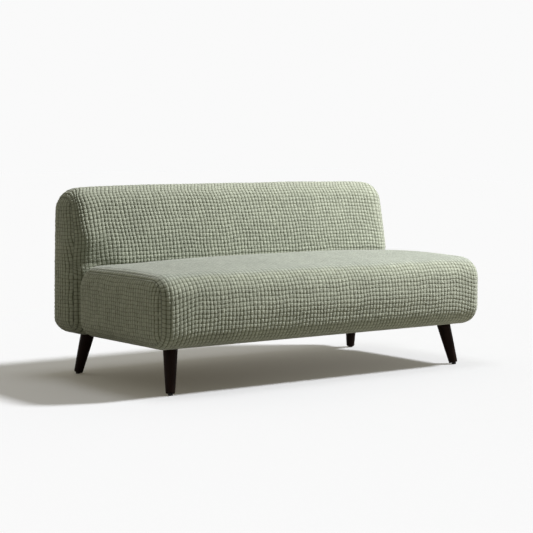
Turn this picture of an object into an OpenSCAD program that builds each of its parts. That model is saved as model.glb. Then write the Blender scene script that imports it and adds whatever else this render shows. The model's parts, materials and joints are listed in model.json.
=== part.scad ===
// Armless two-seat sofa: a seat block and a back block, each fabric over foam over a timber frame,
// bolted together and carried by four splayed tapered legs.
// Millimetres. +Z is up, +X is to the right, the front faces -Y, and the floor is Z = 0.

/* [Overall] */
// Width over both ends
overall_w = 1500; // [1300:10:1800]
// Depth from the front of the seat to the rear of the back
overall_d = 789; // [785:1:800]
// Height of the back's top
overall_h = 703; // [695:1:720]

/* [Seat block] */
// Height of the middle of the seat
seat_h = 448; // [442:1:452]
// Height of the seat's underside
seat_underside = 158.7; // [154:0.1:165]
// Depth of the seat block at its middle
seat_d = 590; // [584:0.5:594]
// Swell of the front face
seat_front_crown = 10.3; // [4:0.1:14]
// Swell of the top
seat_top_crown = 28; // [20:0.5:32]
// Swell of each end panel
seat_end_crown = 13.6; // [6:0.1:18]
// Rounding between the end panels and the rest
seat_end_round = 54; // [40:1:56]
// Radius of the top front edge
seat_front_top_r = 80; // [66:1:95]
// Radius of the lower front edge
seat_front_low_r = 75; // [62:1:80]
// Radius of the lower rear edge
seat_rear_low_r = 59.5; // [57:0.5:66]
// Radius of the top rear edge
seat_rear_top_r = 83.5; // [76:0.5:90]
// How far the seat's top sinks towards its end corners
seat_sink = 2; // [0:0.5:8]

/* [Back block] */
// Height of the back's underside
back_underside = 155.5; // [150:0.5:160]
// Lean of the front face, in degrees
back_lean = 11.3; // [9:0.1:13]
// Rake of the rear face, in degrees
back_rake = 2.2; // [1:0.1:3]
// Height at which the front face is furthest forward
back_belly_h = 420; // [415:1:430]
// How far the front face overhangs the rounded rear edge of the seat
back_belly = 33.4; // [28:0.2:34]
// Height below which the front face is upright and lies against the seat
back_foot_h = 372; // [366:1:376]
// Swell of the leaning front face
back_front_crown = 8.4; // [4:0.1:12]
// Swell of the top edge
back_top_crown = 4; // [1:0.1:6]
// Swell of the rear face
back_rear_crown = 8.4; // [4:0.1:12]
// Swell of each end panel
back_end_crown = 1.5; // [1:0.5:5]
// Rounding between the end panels and the rest
back_end_round = 80; // [76:1:82]
// Radius of the top front edge
back_front_top_r = 77.5; // [70:0.5:82]
// Radius of the top rear edge
back_rear_top_r = 78; // [70:0.5:80]
// Radius of the lower front edge
back_front_low_r = 60; // [58.5:0.5:66]
// Radius of the lower rear edge
back_rear_low_r = 58.5; // [58.5:0.5:64]
// Radius of the belly of the front
back_belly_r = 60; // [58.5:0.5:64]
// Radius of the hollow between the belly and the upright part
back_foot_r = 40; // [30:1:45]
// How far the front is drawn in at its left end, just above the seat
back_left_tuck = 36; // [0:1:36]
// How far the back's top sinks towards its end corners
back_sink = 11; // [0:0.5:14]

/* [Covers and foam] */
// Thickness of the puckered fabric with its backing
cover_t = 2.5; // [2:0.1:3]
// Play between the cover and the foam
foam_gap = 0.4; // [0.2:0.1:1]
// Play between the two blocks
block_gap = 0.2; // [0.1:0.1:0.5]
// Width of the fabric turned under at each end
hem_end = 88; // [84:1:100]
// Width of the fabric turned under along the seat's long sides
hem_seat = 42; // [30:1:60]
// Width of the fabric turned under along the back's long sides
hem_back = 22; // [18:1:24]
// Thickness of the dust cloth under each block
dust_t = 0.8; // [0.5:0.1:1]
// Width of dust cloth that laps over the turned-under fabric
dust_lap = 12; // [6:1:12]
// Thickness of the firm foam slab in the seat
seat_slab_t = 98; // [80:1:100]
// Thickness of the firm foam pad in the back
back_pad_t = 38; // [30:1:42]

/* [Frame] */
// Thickness of the timber rails
rail_t = 25; // [20:1:28]
// Height of the seat rails
rail_h = 130; // [115:1:135]
// Thickness of the plywood ribs in the back
rib_t = 22; // [18:1:24]
// Thickness of the panel behind the ribs
panel_t = 3; // [2:0.5:4]
// Thickness of the elastic webbing
web_t = 1.5; // [1:0.1:2]
// Width of each webbing band
web_w = 60; // [50:5:70]
// Number of bands from front to rear in the seat
seat_cross_bands = 11; // [9:1:12]
// Number of bands along the seat
seat_long_bands = 4; // [3:1:4]
// Number of upright bands in the back
back_bands = 10; // [8:1:11]

/* [Legs] */
// Diameter of a leg where it meets the sofa
leg_top_dia = 52; // [46:1:54]
// Diameter of a leg at its lower end
leg_foot_dia = 33; // [28:1:36]
// Chamfer round the lower end of a leg
leg_chamfer = 2.5; // [1:0.5:4]
// Height of the middle of a leg's lower end above the floor
leg_end_h = 6.5; // [6:0.5:8]
// Distance from the sofa's end to the middle of a foot
leg_inset_x = 94.5; // [90:0.5:100]
// Distance from the sofa's front to the middle of a front foot
leg_inset_front = 84; // [80:0.5:88]
// Distance from the sofa's rear to the middle of a rear foot
leg_inset_rear = 64.5; // [62:0.5:70]
// How far each leg's top leans in from its foot, sideways
leg_lean_x = 24.5; // [20:0.5:28]
// How far each front leg's top leans in from its foot, towards the rear
leg_lean_front = 37; // [32:0.5:40]
// How far each rear leg's top leans in from its foot, towards the front
leg_lean_rear = 35.5; // [30:0.5:38]
// Diameter of the plastic glides
glide_dia = 17; // [14:1:20]

/* [Fasteners] */
// Diameter of the leg bolts and the joining bolts
bolt_dia = 8; // [8:1:8]
// Diameter of the hole round a joining bolt
bolt_hole_dia = 9; // [8.5:0.5:10]
// Height of the joining bolts
join_h = 255; // [250:1:260]
// Length of a joining bolt under its head
join_bolt_l = 160; // [155:5:170]
// Depth of a leg bolt in its leg
leg_bolt_depth = 40; // [30:1:50]
// Length of the threaded insert above a leg
insert_l = 25; // [20:1:28]
// Outer diameter of the threaded insert
insert_dia = 13; // [12:1:15]
// Diameter of the frame screws
screw_dia = 5; // [4:0.5:6]
// Length of the frame screws
screw_l = 60; // [50:5:70]

/* [Hidden] */
$fn = 48;
margin = 5;
// Play between the frames and the flat undersides they stand on
frame_play = 0.5;
// Room left for the slant of the back's rear edge
rake_play = 2.5;

// Colours
sage = "darkseagreen";
foam_colour = "palegoldenrod";
timber = "burlywood";
plywood = "wheat";
web_colour = "dimgray";
cloth_black = "#2a2a2a";
stained = "#2c1f1a";
black = "#181818";
zinc = "silver";

// Seat planes, without their swell
seat_front_y = -overall_d / 2 + seat_front_crown;
seat_rear_y = -overall_d / 2 + seat_d;
seat_top_z = seat_h - seat_top_crown;
seat_half = overall_w / 2 - seat_end_crown;

// Back planes, without their swell
back_rear_y = overall_d / 2;
back_front_y = seat_rear_y + block_gap;
back_top_z = overall_h - back_top_crown;
back_half = overall_w / 2 - back_end_crown;
back_top_rear_y = back_rear_y - (back_top_z - back_underside) * tan(back_rake);
back_belly_y = back_front_y - back_belly;
back_top_front_y = back_belly_y + (back_top_z - back_belly_h) * tan(back_lean);

// Flat part of each underside, which the frames stand on
seat_flat_front = seat_front_y + seat_front_low_r;
seat_flat_rear = seat_rear_y - seat_rear_low_r;
back_flat_front = back_front_y + back_front_low_r;
back_flat_rear = back_rear_y - back_rear_low_r - rake_play;
frame_half = min(seat_half - seat_end_round, back_half - back_end_round) - frame_play;
open_half = frame_half - hem_end;

// Outlines as corner, radius, swell of the edge that follows, steps along that edge, steps round the corner.
// A corner with a negative radius is hollow.
seat_span = seat_flat_rear - seat_flat_front;
back_low_span = back_rear_y - back_rear_low_r - back_flat_front;
seat_corners = [
    [seat_front_y, seat_underside], [seat_rear_y, seat_underside],
    [seat_rear_y, seat_top_z], [seat_front_y, seat_top_z]
];
seat_radii = [seat_front_low_r, seat_rear_low_r, seat_rear_top_r, seat_front_top_r];
seat_swell = [0, 0, seat_top_crown, seat_front_crown];
quarters = [0.25, 0.5, 0.75];
seat_steps = [[hem_seat / seat_span, 1 - hem_seat / seat_span], [], quarters, quarters];
seat_turns = [4, 4, 4, 5];
back_corners = [
    [back_front_y, back_underside], [back_rear_y, back_underside],
    [back_top_rear_y, back_top_z], [back_top_front_y, back_top_z],
    [back_belly_y, back_belly_h], [back_front_y, back_foot_h]
];
back_radii = [
    back_front_low_r, back_rear_low_r, back_rear_top_r, back_front_top_r, back_belly_r, -back_foot_r
];
back_swell = [0, back_rear_crown, back_top_crown, back_front_crown, 0, 0];
front_steps = [0.2, 0.38, 0.5, 0.62, 0.74, 0.87];
back_steps = [
    [hem_back / back_low_span, 1 - (hem_back + rake_play) / back_low_span],
    quarters, [0.5], front_steps, [0.5], []
];
back_turns = [4, 4, 4, 4, 5, 3];
seat_last_turn = 84;
back_last_turn = 72;

// A form is its outline, then its half length, end rounding, end swell, sink, tuck and last turn of the rounding
seat_form = [seat_corners, seat_radii, seat_swell, seat_steps, seat_turns,
    seat_half, seat_end_round, seat_end_crown, seat_sink, 0, seat_last_turn];
back_form = [back_corners, back_radii, back_swell, back_steps, back_turns,
    back_half, back_end_round, back_end_crown, back_sink, back_left_tuck, back_last_turn];
turn_steps = [0, 0.29, 0.55, 0.79, 1];
dome_scale = [0.75, 0.4];
// Powers of the place along the block by which its swell fades and its top sinks
swell_power = 3;
sink_power = 6;
// The tuck grows between two distances to the left of the middle, and upward between the two low heights.
// It fades between the two high ones.
tuck_x = [540, 710];
tuck_low = [370, 430];
tuck_high = [420, 545];

// Seat frame
frame_floor = seat_underside + cover_t;
frame_top = frame_floor + rail_h;
frame_front = seat_flat_front + frame_play;
frame_rear = seat_flat_rear - frame_play;
web_top = frame_top + 2 * web_t;
cross_rail_x = frame_half / 3;
cross_rail_h = 85;
block_w = 80;
block_h = 50;
rear_block_w = 60;
seat_band_edge = 50;
join_x = [-520, -190, 190, 520];
join_block_w = 60;
join_block_h = 70;

// Back frame
board_floor = back_underside + cover_t;
board_top = board_floor + rail_t;
front_foam_t = 27.5;
rear_foam_t = 28.5;
lean_foam_t = 64;
top_foam_t = 58;
rib_front = back_front_y + front_foam_t;
rib_lean_h = back_belly_h + (rib_front - lean_foam_t - back_belly_y) / tan(back_lean);
rib_top_h = overall_h - top_foam_t;
rib_rear_low = back_rear_y - rear_foam_t;
top_rail_t = 22;
top_rail_w = 64;
top_rail_rear = rib_front + (rib_top_h - rib_lean_h) * tan(back_lean) + top_rail_w;
middle_rail_h = 70;
lower_rail_h = 105;
join_edge = 45;
lower_rail_floor = join_h - join_edge;
lower_rail_top = lower_rail_floor + lower_rail_h;
inner_rib_x = frame_half / 3;
panel_rise = 25;
panel_floor = board_top + panel_rise;
panel_top = rib_top_h - margin;
back_band_edge = 70;
pad_half = frame_half - 100;
leg_block_inset = 10;
leg_block_h = 30;

// Leg lines, from the middle of the foot on the floor to the middle of the top
foot_x = overall_w / 2 - leg_inset_x;
front_foot = [foot_x, -overall_d / 2 + leg_inset_front, 0];
rear_foot = [foot_x, overall_d / 2 - leg_inset_rear, 0];
front_lean = [-leg_lean_x, leg_lean_front, seat_underside];
rear_lean = [-leg_lean_x, -leg_lean_rear, back_underside];
glide_chamfer = 0.8;
nail_dia = 4;
nail_depth = 22;
nail_head_dia = 8.4;
nail_head_t = 1.2;
nail_start = 2.4;
bolt_past_insert = 4;
// Quarter turn that keeps the seam of a turned leg off the lowest point of its level top
seam_turn = 90;

// Joining bolts
washer_t = 2;
washer_dia = 24;
head_t = 5.3;
head_across = 13;
nut_t = 6.5;
hex_ratio = 2 / sqrt(3);

// Frame screws
screw_head_dia = 9.5;
screw_head_h = 3.5;
seat_screw_rise = [35, 95];
rib_screw_rise = [20, 85];

// Unit vector, outward normal of an edge, and centre of the arc that rounds a corner
function unit(v) = v / norm(v);
function edge_normal(p, q) = let (d = unit(q - p)) [d[1], -d[0]];
function arc_centre(p, q, s, r) =
    let (a = unit(p - q), b = unit(s - q))
    q + unit(a + b) * abs(r) / sin(acos(a * b) / 2);
function past(a1, a2, r) = r < 0 ? (a2 > a1 ? a2 - 360 : a2) : (a2 < a1 ? a2 + 360 : a2);
function cyc(list, i) = list[(i + len(list)) % len(list)];

// Closed outline in Y and Z: an arc at each corner, then the swelling edge to the next.
// It is drawn in by inset, and k scales the swell.
function outline(form, inset, k) =
    let (v = form[0], r = form[1], swell = form[2], steps = form[3], turns = form[4])
    [for (i = [0:len(v) - 1])
        let (
            n1 = edge_normal(cyc(v, i - 1), v[i]),
            n2 = edge_normal(v[i], cyc(v, i + 1)),
            a1 = atan2(n1[1], n1[0]),
            a2 = past(a1, atan2(n2[1], n2[0]), r[i]),
            c1 = arc_centre(cyc(v, i - 1), v[i], cyc(v, i + 1), r[i]),
            c2 = arc_centre(v[i], cyc(v, i + 1), cyc(v, i + 2), cyc(r, i + 1))
        )
        each concat(
            [for (j = [0:turns[i]])
                let (a = a1 + (a2 - a1) * j / turns[i])
                c1 + (r[i] - inset) * [cos(a), sin(a)]],
            [for (t = steps[i])
                let (reach = r[i] * (1 - t) + cyc(r, i + 1) * t - inset)
                c1 * (1 - t) + c2 * t + n2 * (reach + k * swell[i] * 4 * t * (1 - t))]
        )];

// Stations from one end to the other as X, inset and scale: straight, round the end, then over its dome
function half_stations(form, inset) =
    let (
        half = form[5], r = form[6], tip = half + form[7] - inset, last = form[10],
        x_edge = half - r + (r - inset) * sin(last),
        in_edge = r - (r - inset) * cos(last)
    )
    concat(
        [for (x = [0, open_half / 2, open_half, (open_half + half - r) / 2]) [x, inset, 1]],
        [for (t = turn_steps)
            [half - r + (r - inset) * sin(t * last), r - (r - inset) * cos(t * last), 1]],
        [for (s = dome_scale) [tip - (tip - x_edge) * s * s, in_edge, s]],
        [[tip, in_edge, 0]]
    );
function stations(form, inset) =
    let (right = half_stations(form, inset))
    concat([for (i = [len(right) - 1:-1:1]) [-right[i][0], right[i][1], right[i][2]]], right);

// Smooth rise from 0 to 1 between two values
function rise(value, span) =
    let (t = max(0, min(1, (value - span[0]) / (span[1] - span[0]))))
    t * t * (3 - 2 * t);

// How far the front is drawn in at a point of the outline
function tuck(form, x, p, middle) =
    p[0] > middle[0] ? 0 : form[9] * rise(-x, tuck_x) * rise(p[1], tuck_low) * (1 - rise(p[1], tuck_high));

// Ring of points at one station: the top sinks towards the ends, and a dome ring shrinks to its middle
function ring(form, station) =
    let (
        u = min(abs(station[0]) / form[5], 1),
        floor_z = form[0][0][1],
        top_z = form[0][2][1],
        flat = outline(form, station[1], 1 - pow(u, swell_power)),
        middle = [form[0][0][0] + form[0][1][0], floor_z + top_z] / 2
    )
    [for (p = flat)
        let (
            q = middle + (p + [tuck(form, station[0], p, middle), 0] - middle) * station[2],
            drop = form[8] * pow(u, sink_power) * (q[1] - floor_z) / (top_z - floor_z)
        )
        [station[0], q[0], q[1] - drop]];
function end_point(form, station) = ring(form, station)[0];

// All points of a form: the rings, then the middle of the left end and of the right end
function form_points(form, inset) =
    let (st = stations(form, inset), n = len(st))
    concat(
        [for (i = [1:n - 2]) each ring(form, st[i])],
        [end_point(form, st[0]), end_point(form, st[n - 1])]
    );
function turned(face, inward) = inward ? [face[0], face[2], face[1]] : face;

// Faces of a form with m points to a ring and n rings, leaving out the cells of the opening
function form_faces(m, n, base, inward, open_j, open_from, open_to) =
    concat(
        [for (i = [0:n - 2], j = [0:m - 1])
            if (!(j == open_j && i >= open_from && i < open_to))
                let (
                    a = base + i * m + j, b = base + i * m + (j + 1) % m,
                    c = base + (i + 1) * m + (j + 1) % m, d = base + (i + 1) * m + j
                )
                each [turned([a, c, b], inward), turned([a, d, c], inward)]],
        [for (j = [0:m - 1])
            turned([base + n * m, base + j, base + (j + 1) % m], inward)],
        [for (j = [0:m - 1])
            turned([base + n * m + 1, base + (n - 1) * m + (j + 1) % m, base + (n - 1) * m + j], inward)]
    );

// Edge of the opening, which joins the outer surface to the inner one
function rim_faces(m, base, j, from, to) =
    concat(
        [for (i = [from:to - 1])
            let (o = i * m + j, p = o + m, s = base + o, t = base + p)
            each [[s, o, p], [s, p, t], [s + 1, p + 1, o + 1], [s + 1, t + 1, p + 1]]],
        let (o = from * m + j, s = base + o) [[s, s + 1, o + 1], [s, o + 1, o]],
        let (o = to * m + j, s = base + o) [[s, o + 1, s + 1], [s, o, o + 1]]
    );

// Closed body of a form, drawn in by inset
module form_solid(form, inset) {
    m = len(outline(form, inset, 1));
    n = len(stations(form, inset)) - 2;
    polyhedron(form_points(form, inset), form_faces(m, n, 0, false, -1, 0, 0), convexity = 6);
}

// Fabric skin of a form, open underneath inside its turned-under hem
module form_skin(form, thickness) {
    m = len(outline(form, 0, 1));
    n = len(stations(form, 0)) - 2;
    base = n * m + 2;
    middle = (n - 1) / 2;
    open_j = form[4][0] + 1;
    polyhedron(
        concat(form_points(form, 0), form_points(form, thickness)),
        concat(
            form_faces(m, n, 0, false, open_j, middle - 2, middle + 2),
            form_faces(m, n, base, true, open_j, middle - 2, middle + 2),
            rim_faces(m, base, open_j, middle - 2, middle + 2)
        ),
        convexity = 8
    );
}

// Box between two corners
module block(low, high) {
    translate(low) cube(high - low);
}

// Bar of a given outline in Y and Z, from one X to another
module bar(points, from, to) {
    translate([from, 0, 0]) rotate([90, 0, 90]) linear_extrude(to - from) polygon(points);
}

// Puts its children on a leg line, with Z along the line from the foot
module on_leg(foot, lean) {
    tilt = acos(lean[2] / norm(lean));
    turn = atan2(lean[1], lean[0]);
    translate(foot) rotate([0, tilt, turn]) children();
}
module both_sides() {
    children();
    mirror([1, 0, 0]) children();
}

// Holes and fasteners
module join_holes() {
    from = frame_rear - rail_t - margin;
    to = rib_front + rail_t + margin;
    for (x = join_x)
        translate([x, from, join_h]) rotate([-90, 0, 0]) cylinder(h = to - from, d = bolt_hole_dia);
}
// Upright holes over the middle of a pair of leg tops
module leg_bolt_holes(foot, lean, dia, height) {
    both_sides() translate(foot + lean - [0, 0, margin]) cylinder(h = height + margin, d = dia);
}
module screw(dia, head_dia) {
    cylinder(h = screw_l, d = dia);
    cylinder(h = screw_head_h, d1 = head_dia, d2 = dia);
}
module seat_screw_set() {
    for (x = [-frame_half + rail_t / 2, frame_half - rail_t / 2], z = seat_screw_rise) {
        translate([x, frame_front, frame_floor + z]) rotate([-90, 0, 0]) screw(screw_dia, screw_head_dia);
        translate([x, frame_rear, frame_floor + z]) rotate([90, 0, 0]) screw(screw_dia, screw_head_dia);
    }
}
module back_screw_set() {
    for (x = [-frame_half + rib_t / 2, -inner_rib_x, inner_rib_x, frame_half - rib_t / 2], z = rib_screw_rise)
        translate([x, rib_front, lower_rail_floor + z]) rotate([-90, 0, 0]) screw(screw_dia, screw_head_dia);
}

// Seat block
module seat_cover() {
    color(sage) difference() {
        form_skin(seat_form, cover_t);
        join_holes();
        leg_bolt_holes(front_foot, front_lean, bolt_hole_dia, 2 * cover_t);
    }
}
module seat_foam_wrap() {
    color(foam_colour) difference() {
        form_solid(seat_form, cover_t + foam_gap);
        block([-frame_half, frame_front, seat_underside], [frame_half, frame_rear, web_top + seat_slab_t]);
        for (x = join_x)
            join_block(x, frame_rear - margin, seat_rear_y + margin);
    }
}
module seat_foam_slab() {
    color(foam_colour)
        block([-frame_half, frame_front, web_top], [frame_half, frame_rear, web_top + seat_slab_t]);
}
module seat_front_rail() {
    color(timber) difference() {
        block([-frame_half, frame_front, frame_floor], [frame_half, frame_front + rail_t, frame_top]);
        seat_screw_set();
    }
}
module seat_rear_rail() {
    color(timber) difference() {
        block([-frame_half, frame_rear - rail_t, frame_floor], [frame_half, frame_rear, frame_top]);
        seat_screw_set();
        join_holes();
    }
}
module seat_side_rail(from) {
    difference() {
        block([from, frame_front + rail_t, frame_floor], [from + rail_t, frame_rear - rail_t, frame_top]);
        seat_screw_set();
    }
}
module seat_left_rail() {
    color(timber) seat_side_rail(-frame_half);
}
module seat_right_rail() {
    color(timber) seat_side_rail(frame_half - rail_t);
}
module seat_cross_rail(x) {
    block([x - rail_t / 2, frame_front + rail_t, frame_floor],
        [x + rail_t / 2, frame_rear - rail_t, frame_floor + cross_rail_h]);
}
module seat_cross_rail_left() {
    color(timber) seat_cross_rail(-cross_rail_x);
}
module seat_cross_rail_right() {
    color(timber) seat_cross_rail(cross_rail_x);
}
module seat_corner_blocks() {
    inner = frame_half - rail_t;
    front = frame_front + rail_t;
    rear = frame_rear - rail_t;
    color(timber) difference() {
        both_sides() {
            block([inner - block_w, front, frame_floor], [inner, front + block_w, frame_floor + block_h]);
            block([inner - rear_block_w, rear - rear_block_w, frame_floor], [inner, rear, frame_floor + block_h]);
        }
        leg_bolt_holes(front_foot, front_lean, bolt_dia, block_h + margin);
        leg_bolt_holes(front_foot, front_lean, insert_dia, cover_t + insert_l);
    }
}
module join_block(x, from, to) {
    block([x - join_block_w / 2, from, join_h - join_block_h / 2],
        [x + join_block_w / 2, to, join_h + join_block_h / 2]);
}
module seat_joining_blocks() {
    color(timber) difference() {
        for (x = join_x)
            join_block(x, frame_rear, seat_rear_y - cover_t);
        join_holes();
    }
}
module seat_cross_webbing() {
    first = -frame_half + seat_band_edge;
    pitch = -2 * first / (seat_cross_bands - 1);
    color(web_colour)
        for (i = [0:seat_cross_bands - 1])
            translate([first + i * pitch - web_w / 2, frame_front, frame_top])
                cube([web_w, frame_rear - frame_front, web_t]);
}
module seat_long_webbing() {
    pitch = (frame_rear - frame_front - 2 * rail_t - web_w) / (seat_long_bands - 1);
    color(web_colour)
        for (i = [0:seat_long_bands - 1])
            translate([-frame_half, frame_front + rail_t + i * pitch, frame_top + web_t])
                cube([2 * frame_half, web_w, web_t]);
}
module seat_frame_screws() {
    color(zinc) seat_screw_set();
}
module seat_dust_cloth() {
    lap_front = seat_flat_front + hem_seat - dust_lap;
    lap_rear = seat_flat_rear - hem_seat + dust_lap;
    color(cloth_black)
        block([-open_half - dust_lap, lap_front, seat_underside - dust_t],
            [open_half + dust_lap, lap_rear, seat_underside]);
}

// Back block
function lean_y(z) = rib_front + (z - rib_lean_h) * tan(back_lean);
function rake_y(z) = rib_rear_low - (z - board_top) * tan(back_rake);
rib_outline = [
    [rib_front, board_top], [rake_y(board_top), board_top],
    [rake_y(rib_top_h), rib_top_h], [lean_y(rib_top_h), rib_top_h],
    [rib_front, rib_lean_h]
];
middle_rail_outline = [
    [rib_front, rib_lean_h], [rib_front + rail_t, rib_lean_h],
    [lean_y(rib_lean_h + middle_rail_h) + rail_t, rib_lean_h + middle_rail_h],
    [lean_y(rib_lean_h + middle_rail_h), rib_lean_h + middle_rail_h]
];
top_rail_outline = [
    [lean_y(rib_top_h), rib_top_h], [top_rail_rear, rib_top_h],
    [top_rail_rear, rib_top_h + top_rail_t],
    [lean_y(rib_top_h + top_rail_t), rib_top_h + top_rail_t]
];
// Leaning strip in front of the ribs, from depth a to depth b in front of them
function strip(a, b, low, high) = [
    [lean_y(low) - b, low], [lean_y(low) - a, low], [lean_y(high) - a, high], [lean_y(high) - b, high]
];
web_outline = strip(0, web_t, rib_lean_h + margin, rib_top_h + top_rail_t - margin);
pad_outline = strip(web_t, web_t + back_pad_t, rib_lean_h, rib_top_h);
panel_outline = [
    [rake_y(panel_floor), panel_floor], [rake_y(panel_floor) + panel_t, panel_floor],
    [rake_y(panel_top) + panel_t, panel_top], [rake_y(panel_top), panel_top]
];
module back_cover() {
    color(sage) difference() {
        form_skin(back_form, cover_t);
        join_holes();
        leg_bolt_holes(rear_foot, rear_lean, bolt_hole_dia, 2 * cover_t);
    }
}
module back_foam_wrap() {
    color(foam_colour) difference() {
        form_solid(back_form, cover_t + foam_gap);
        bar(rib_outline, -frame_half, frame_half);
        bar(top_rail_outline, -frame_half, frame_half);
        bar(strip(-margin, web_t + back_pad_t, rib_lean_h, rib_top_h), -pad_half, pad_half);
        bar(strip(-margin, web_t, rib_lean_h + margin, rib_top_h + top_rail_t), -frame_half, frame_half);
        bar(panel_outline, -frame_half, frame_half);
        block([-frame_half, back_flat_front, back_underside], [frame_half, back_flat_rear, board_top]);
        for (x = join_x)
            join_block(x, back_front_y - margin, rib_front + margin);
    }
}
module back_foam_pad() {
    color(foam_colour) bar(pad_outline, -pad_half, pad_half);
}
module back_rib(from) {
    difference() {
        bar(rib_outline, from, from + rib_t);
        block([from - margin, rib_front - margin, lower_rail_floor],
            [from + rib_t + margin, rib_front + rail_t, lower_rail_top]);
        bar(middle_rail_outline, from - margin, from + rib_t + margin);
        back_screw_set();
    }
}
module back_left_rib() {
    color(plywood) back_rib(-frame_half);
}
module back_right_rib() {
    color(plywood) back_rib(frame_half - rib_t);
}
module back_inner_ribs() {
    color(plywood) {
        back_rib(-inner_rib_x - rib_t / 2);
        back_rib(inner_rib_x - rib_t / 2);
    }
}
module back_bottom_board() {
    color(timber) difference() {
        block([-frame_half, back_flat_front, board_floor], [frame_half, back_flat_rear, board_top]);
        leg_bolt_holes(rear_foot, rear_lean, bolt_dia, rail_t + leg_block_h + margin);
        leg_bolt_holes(rear_foot, rear_lean, insert_dia, cover_t + insert_l);
    }
}
module back_lower_rail() {
    color(timber) difference() {
        block([-frame_half, rib_front, lower_rail_floor], [frame_half, rib_front + rail_t, lower_rail_top]);
        join_holes();
        back_screw_set();
    }
}
module back_middle_rail() {
    color(timber) bar(middle_rail_outline, -frame_half, frame_half);
}
module back_top_rail() {
    color(timber) bar(top_rail_outline, -frame_half, frame_half);
}
module back_rear_panel() {
    color(plywood) bar(panel_outline, -frame_half, frame_half);
}
module back_webbing() {
    first = -frame_half + back_band_edge;
    pitch = -2 * first / (back_bands - 1);
    color(web_colour)
        for (i = [0:back_bands - 1])
            bar(web_outline, first + i * pitch - web_w / 2, first + i * pitch + web_w / 2);
}
module back_leg_blocks() {
    inner = frame_half - rib_t;
    color(timber) difference() {
        both_sides()
            block([inner - block_w, back_flat_front + leg_block_inset, board_top],
                [inner, back_flat_rear - margin, board_top + leg_block_h]);
        leg_bolt_holes(rear_foot, rear_lean, bolt_dia, rail_t + leg_block_h + margin);
        leg_bolt_holes(rear_foot, rear_lean, insert_dia, cover_t + insert_l);
    }
}
module back_joining_blocks() {
    color(timber) difference() {
        for (x = join_x)
            join_block(x, back_front_y + cover_t, rib_front);
        join_holes();
    }
}
module back_frame_screws() {
    color(zinc) back_screw_set();
}
module back_dust_cloth() {
    lap_front = back_flat_front + hem_back - dust_lap;
    lap_rear = back_flat_rear - hem_back + dust_lap;
    color(cloth_black)
        block([-open_half - dust_lap, lap_front, back_underside - dust_t],
            [open_half + dust_lap, lap_rear, back_underside]);
}

// Bolts that join the two blocks
module joining_bolts() {
    head_y = frame_rear - rail_t - washer_t;
    color(zinc) for (x = join_x) translate([x, head_y, join_h]) rotate([-90, 0, 0]) {
        cylinder(h = join_bolt_l, d = bolt_dia);
        translate([0, 0, -head_t]) cylinder(h = head_t, d = head_across * hex_ratio, $fn = 6);
    }
}
module washer() {
    difference() {
        cylinder(h = washer_t, d = washer_dia);
        translate([0, 0, -margin]) cylinder(h = washer_t + 2 * margin, d = bolt_hole_dia);
    }
}
module joining_washers() {
    color(zinc) for (x = join_x, y = [frame_rear - rail_t - washer_t, rib_front + rail_t])
        translate([x, y, join_h]) rotate([-90, 0, 0]) washer();
}
module joining_nuts() {
    color(zinc) for (x = join_x)
        translate([x, rib_front + rail_t + washer_t, join_h]) rotate([-90, 0, 0]) difference() {
            cylinder(h = nut_t, d = head_across * hex_ratio, $fn = 6);
            translate([0, 0, -margin]) cylinder(h = nut_t + 2 * margin, d = bolt_dia);
        }
}

// Legs: a turned cone, cut level where it meets the sofa and square at its lower end
module leg(foot, lean) {
    length = norm(lean);
    start = leg_end_h * length / lean[2];
    slope = (leg_top_dia - leg_foot_dia) / 2 / (length - start);
    past_top = 15;
    cut_h = 60;
    difference() {
        on_leg(foot, lean) rotate([0, 0, seam_turn]) rotate_extrude() polygon([
            [0, start], [leg_foot_dia / 2 - leg_chamfer, start],
            [leg_foot_dia / 2 + slope * leg_chamfer, start + leg_chamfer],
            [leg_top_dia / 2 + slope * past_top, length + past_top], [0, length + past_top]
        ]);
        translate([foot[0] - overall_d / 2, foot[1] - overall_d / 2, lean[2]]) cube([overall_d, overall_d, cut_h]);
        translate(foot + lean - [0, 0, leg_bolt_depth]) cylinder(h = leg_bolt_depth + past_top, d = bolt_dia);
        on_leg(foot, lean) cylinder(h = start + nail_depth, d = nail_dia);
    }
}
module leg_front_right() {
    color(stained) leg(front_foot, front_lean);
}
module leg_front_left() {
    color(stained) mirror([1, 0, 0]) leg(front_foot, front_lean);
}
module leg_rear_right() {
    color(stained) leg(rear_foot, rear_lean);
}
module leg_rear_left() {
    color(stained) mirror([1, 0, 0]) leg(rear_foot, rear_lean);
}

// Glides: a round foot that stands flat on the floor, under the slanting end of its leg
module nail(foot, lean) {
    start = leg_end_h * norm(lean) / lean[2];
    on_leg(foot, lean) {
        translate([0, 0, nail_start]) cylinder(h = start + nail_depth - nail_start, d = nail_dia);
        translate([0, 0, nail_start]) cylinder(h = nail_head_t, d = nail_head_dia);
    }
}
module glide(foot, lean) {
    start = leg_end_h * norm(lean) / lean[2];
    r = glide_dia / 2;
    difference() {
        translate(foot) rotate_extrude() polygon([
            [0, 0], [r - glide_chamfer, 0], [r, glide_chamfer], [r, 2 * leg_end_h], [0, 2 * leg_end_h]
        ]);
        on_leg(foot, lean) translate([-2 * r, -2 * r, start]) cube(4 * r);
        nail(foot, lean);
    }
}
module glide_front_right() {
    color(black) glide(front_foot, front_lean);
}
module glide_front_left() {
    color(black) mirror([1, 0, 0]) glide(front_foot, front_lean);
}
module glide_rear_right() {
    color(black) glide(rear_foot, rear_lean);
}
module glide_rear_left() {
    color(black) mirror([1, 0, 0]) glide(rear_foot, rear_lean);
}
module glide_nails() {
    color(zinc) both_sides() {
        nail(front_foot, front_lean);
        nail(rear_foot, rear_lean);
    }
}

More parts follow.
